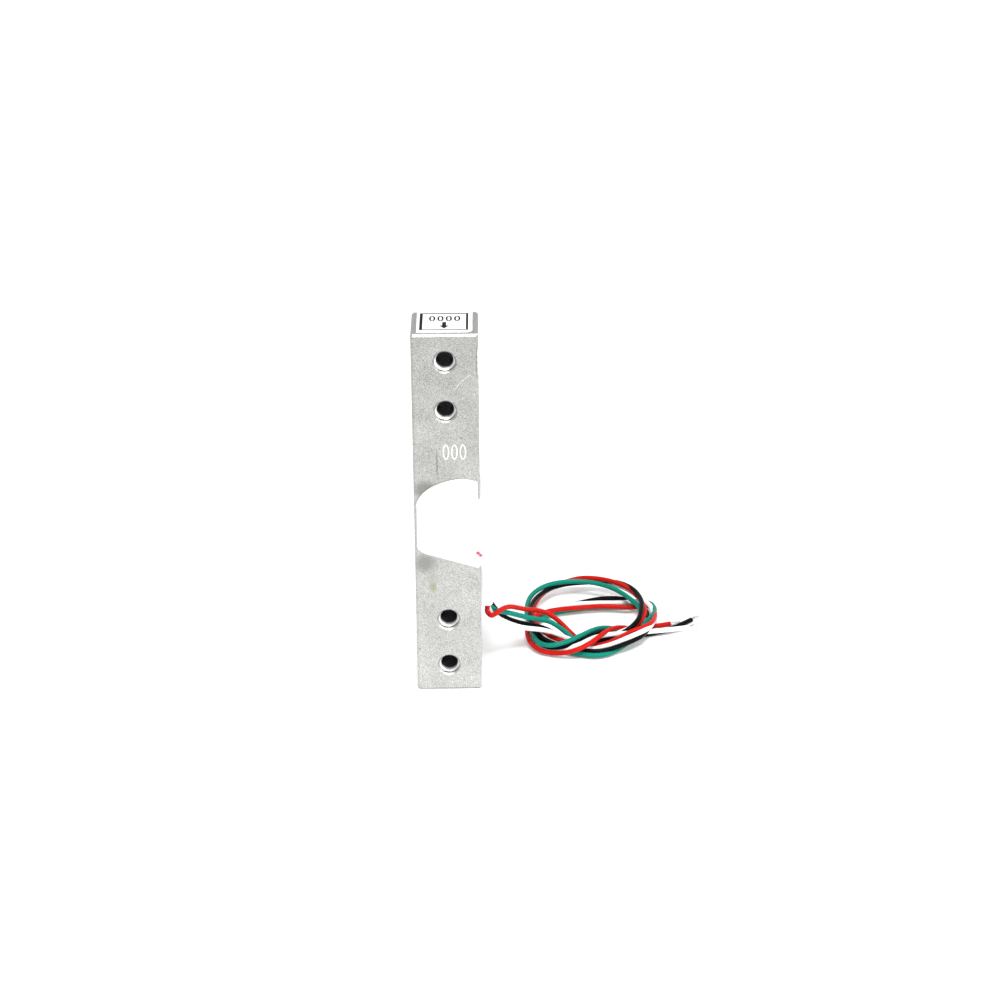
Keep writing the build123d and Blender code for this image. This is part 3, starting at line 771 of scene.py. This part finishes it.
def thread_finish():
    """Cut metal, with painted shade inside like the bore round it."""
    finish = Finish("cut_thread", Specular_IOR_Level=0.15)
    marks = finish.noise(0.3, 3)
    paint_bore_shade(finish, finish.ramp(marks, (0.3, 0.55), (0.7, 0.85)))
    finish.roughness(finish.ramp(marks, (0.3, 0.25), (0.7, 0.4)))
    finish.bump(marks, 0.01, 0.5)
    return finish.material


# Darker patches, a yellowish spot, a scribed line and two specks that are painted on the front
# face. Each is its middle, its reach, its colour and how strongly it shows
STAINS = (
    ((-4.2, BAR_FRONT, 43.5), (2.7, 1.0, 2.3), (0.22, 0.22, 0.21), 0.85),
    ((-4.4, BAR_FRONT, 27.8), (2.7, 1.0, 2.6), (0.24, 0.24, 0.23), 0.8),
    ((-3.0, BAR_FRONT, 24.4), (1.1, 1.0, 3.2), (0.34, 0.34, 0.32), 0.55),
    ((-2.9, BAR_FRONT, 22.6), (0.8, 1.0, 1.2), (0.34, 0.33, 0.20), 0.85),
    ((-1.75, BAR_FRONT, 48.8), (0.16, 1.0, 3.6), (0.16, 0.16, 0.16), 0.85),
    ((2.86, BAR_FRONT, 54.1), (0.22, 0.5, 0.2), (0.10, 0.10, 0.10), 0.8),
    ((-5.76, BAR_FRONT, 9.1), (0.2, 0.5, 0.22), (0.10, 0.10, 0.10), 0.8),
)


def aluminium_finish():
    """Fine blasted aluminium, a little darker in patches, with painted shade along its vertical edges,
    towards its top and inside its tapped holes.
    """
    finish = Finish("blasted_aluminium", Metallic=1.0)
    grain = finish.noise(0.2, 4, 0.7)
    cloud = finish.noise(4.0, 3)
    tone = finish.ramp(
        grain, (0.3, (0.24, 0.24, 0.233)), (0.5, (0.51, 0.51, 0.495)), (0.72, (0.80, 0.80, 0.775)),
    )
    soft = finish.ramp(cloud, (0.3, 0.86), (0.7, 1.0))
    colour = finish.mix(1.0, tone, soft, "MULTIPLY")
    height = finish.nodes.new("ShaderNodeSeparateXYZ")
    finish.links.new(finish.place, height.inputs[0])
    rise = finish.math("DIVIDE", height.outputs["Z"], BAR_TOP * MM)
    # Painted shade: the colour darkens along the bar's four vertical edges
    corner = finish.math(
        "MINIMUM", finish.math("ABSOLUTE", height.outputs["X"]), finish.math("ABSOLUTE", height.outputs["Y"]),
    )
    edge = finish.ramp(finish.math("DIVIDE", corner, BAR_RIGHT * MM), (0.965, 0.0), (0.985, 0.6))
    colour = finish.mix(edge, colour, (0.20, 0.20, 0.195))
    # Painted shade: the colour darkens towards the top of the bar, to 0.78 of itself there
    colour = finish.mix(1.0, colour, finish.ramp(rise, (0.0, 1.0), (1.0, 0.78)), "MULTIPLY")
    for middle, reach, tint, share in STAINS:
        inside = finish.math("MULTIPLY", finish.spot(middle, reach, 0.6), share)
        colour = finish.mix(inside, colour, tint)
    # Painted shade inside the tapped holes
    paint_bore_shade(finish, colour)
    finish.roughness(finish.ramp(grain, (0.3, 0.52), (0.7, 0.38)))
    finish.bump(grain, 0.035, 0.8)
    return finish.material


def plain_finish(name, base, rough, metallic=0.0, size=0.6, depth=0.01, shine=0.5):
    finish = Finish(name, Metallic=metallic, Specular_IOR_Level=shine)
    darker = tuple(level * 0.8 for level in base)
    finish.colour(finish.mix(finish.noise(size, 3), darker, base))
    finish.roughness(finish.ramp(finish.noise(size * 0.6, 3), (0.3, rough * 0.8), (0.7, rough * 1.25)))
    finish.bump(finish.noise(size * 0.4, 2), depth, 0.5)
    return finish.material


# The red wire shows through the silicone in the photograph. Here that is two spots of colour
RED_SPOTS = ((5.9, -7.2, 30.5), (6.4, -7.1, 30.0))
RED_SPOT_REACH = (0.7, 1.6, 0.6)
RED_SPOT_TINT = (0.42, 0.05, 0.09)


def silicone_finish():
    """Glossy white silicone that lets a little light in, with the red spots and one speck."""
    finish = Finish("white_silicone", IOR=1.43)
    finish.shader.inputs["Subsurface Weight"].default_value = 0.25
    finish.shader.inputs["Subsurface Radius"].default_value = (0.002, 0.002, 0.002)
    finish.shader.inputs["Subsurface Scale"].default_value = 1.0
    white = finish.mix(finish.noise(2.5, 2), (0.86, 0.86, 0.85), (0.92, 0.92, 0.91))
    for middle in RED_SPOTS:
        white = finish.mix(finish.spot(middle, RED_SPOT_REACH, 0.6), white, RED_SPOT_TINT)
    speck = finish.math("MULTIPLY", finish.spot((5.8, -7.6, 32.7), (0.16, 1.2, 0.16), 0.5), 0.6)
    finish.colour(finish.mix(speck, white, (0.35, 0.35, 0.35)))
    finish.roughness(finish.ramp(finish.noise(1.2, 2), (0.3, 0.16), (0.7, 0.3)))
    finish.bump(finish.noise(1.8, 2), 0.12, 0.35)
    return finish.material


def paint(node, material):
    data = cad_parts[node].data
    data.materials.clear()
    data.materials.append(material)


def dress_nodes():
    film = plain_finish("gauge_film", (0.62, 0.36, 0.10), 0.3)
    board = plain_finish("solder_board", (0.08, 0.28, 0.14), 0.35)
    solder = plain_finish("solder", (0.72, 0.72, 0.73), 0.25, 1.0)
    enamel = plain_finish("enamelled_ribbon", (0.72, 0.34, 0.14), 0.3, 1.0)
    paint("beam", aluminium_finish())
    paint("cross_links", enamel)
    for face in ("front", "back"):
        paint(f"{face}_upper_gauge", film)
        paint(f"{face}_lower_gauge", film)
        paint(f"{face}_terminal_pad", board)
        paint(f"{face}_jumpers", enamel)
        paint(f"{face}_solder_joints", solder)
    for name in WIRE_COLOURS:
        paint(f"{name}_root", wire_finish(name))


# Floor, backdrop and light
FLOOR_HALF_M = 6.0
KEY_PLACE = (0.0, -0.46, 0.88)
KEY_SIZE_M = 0.34
KEY_WATTS = 8.0
FILL_PLACE = (0.62, -0.42, 0.30)
FILL_SIZE_M = 0.6
FILL_WATTS = 3.4
WORLD_LIGHT = 0.72
FLOOR_GLOW = 0.08


def shows_white(nodes, links):
    """One for rays from the camera, and for those that come off gloss or through glass."""
    path = nodes.new("ShaderNodeLightPath")
    total = None
    for output in ("Is Camera Ray", "Is Glossy Ray", "Is Transmission Ray"):
        if total is None:
            total = path.outputs[output]
            continue
        add = nodes.new("ShaderNodeMath")
        add.operation = "MAXIMUM"
        links.new(total, add.inputs[0])
        links.new(path.outputs[output], add.inputs[1])
        total = add.outputs[0]
    return total


def make_floor():
    mesh = bpy.data.meshes.new("floor")
    half = FLOOR_HALF_M
    corners = [(-half, -half, 0), (half, -half, 0), (half, half, 0), (-half, half, 0)]
    mesh.from_pydata(corners, [], [(0, 1, 2, 3)])
    floor = link("floor", mesh)
    finish = Finish("pale_floor", Roughness=0.6)
    finish.colour(finish.mix(finish.noise(40.0, 2), (0.90, 0.90, 0.90), (0.92, 0.92, 0.92)))
    finish.shader.inputs["Emission Color"].default_value = (1, 1, 1, 1)
    glow = finish.math("MULTIPLY", shows_white(finish.nodes, finish.links), FLOOR_GLOW)
    finish.put(glow, finish.shader.inputs["Emission Strength"])
    mesh.materials.append(finish.material)


def make_light():
    world = bpy.data.worlds.new("studio")
    bpy.context.scene.world = world
    world.use_nodes = True
    nodes = world.node_tree.nodes
    links = world.node_tree.links
    background = nodes["Background"]
    background.inputs["Color"].default_value = (1, 1, 1, 1)
    mapped = nodes.new("ShaderNodeMapRange")
    mapped.inputs["To Min"].default_value = WORLD_LIGHT
    mapped.inputs["To Max"].default_value = 1.0
    links.new(shows_white(nodes, links), mapped.inputs["Value"])
    links.new(mapped.outputs[0], background.inputs["Strength"])
    for name, place, size, watts in (
        ("key", KEY_PLACE, KEY_SIZE_M, KEY_WATTS), ("fill", FILL_PLACE, FILL_SIZE_M, FILL_WATTS),
    ):
        lamp = bpy.data.lights.new(name, "AREA")
        lamp.shape = "DISK"
        lamp.size = size
        lamp.energy = watts
        stand = link(name, lamp)
        stand.location = place
        stand.rotation_mode = "QUATERNION"
        stand.rotation_quaternion = (-Vector(place)).to_track_quat("-Z", "Y")


make_camera()
make_light()
make_floor()
dress_nodes()
make_leads()
make_threads()
make_label()
make_burrs()
make_silicone()
bpy.context.scene.view_settings.view_transform = "Standard"
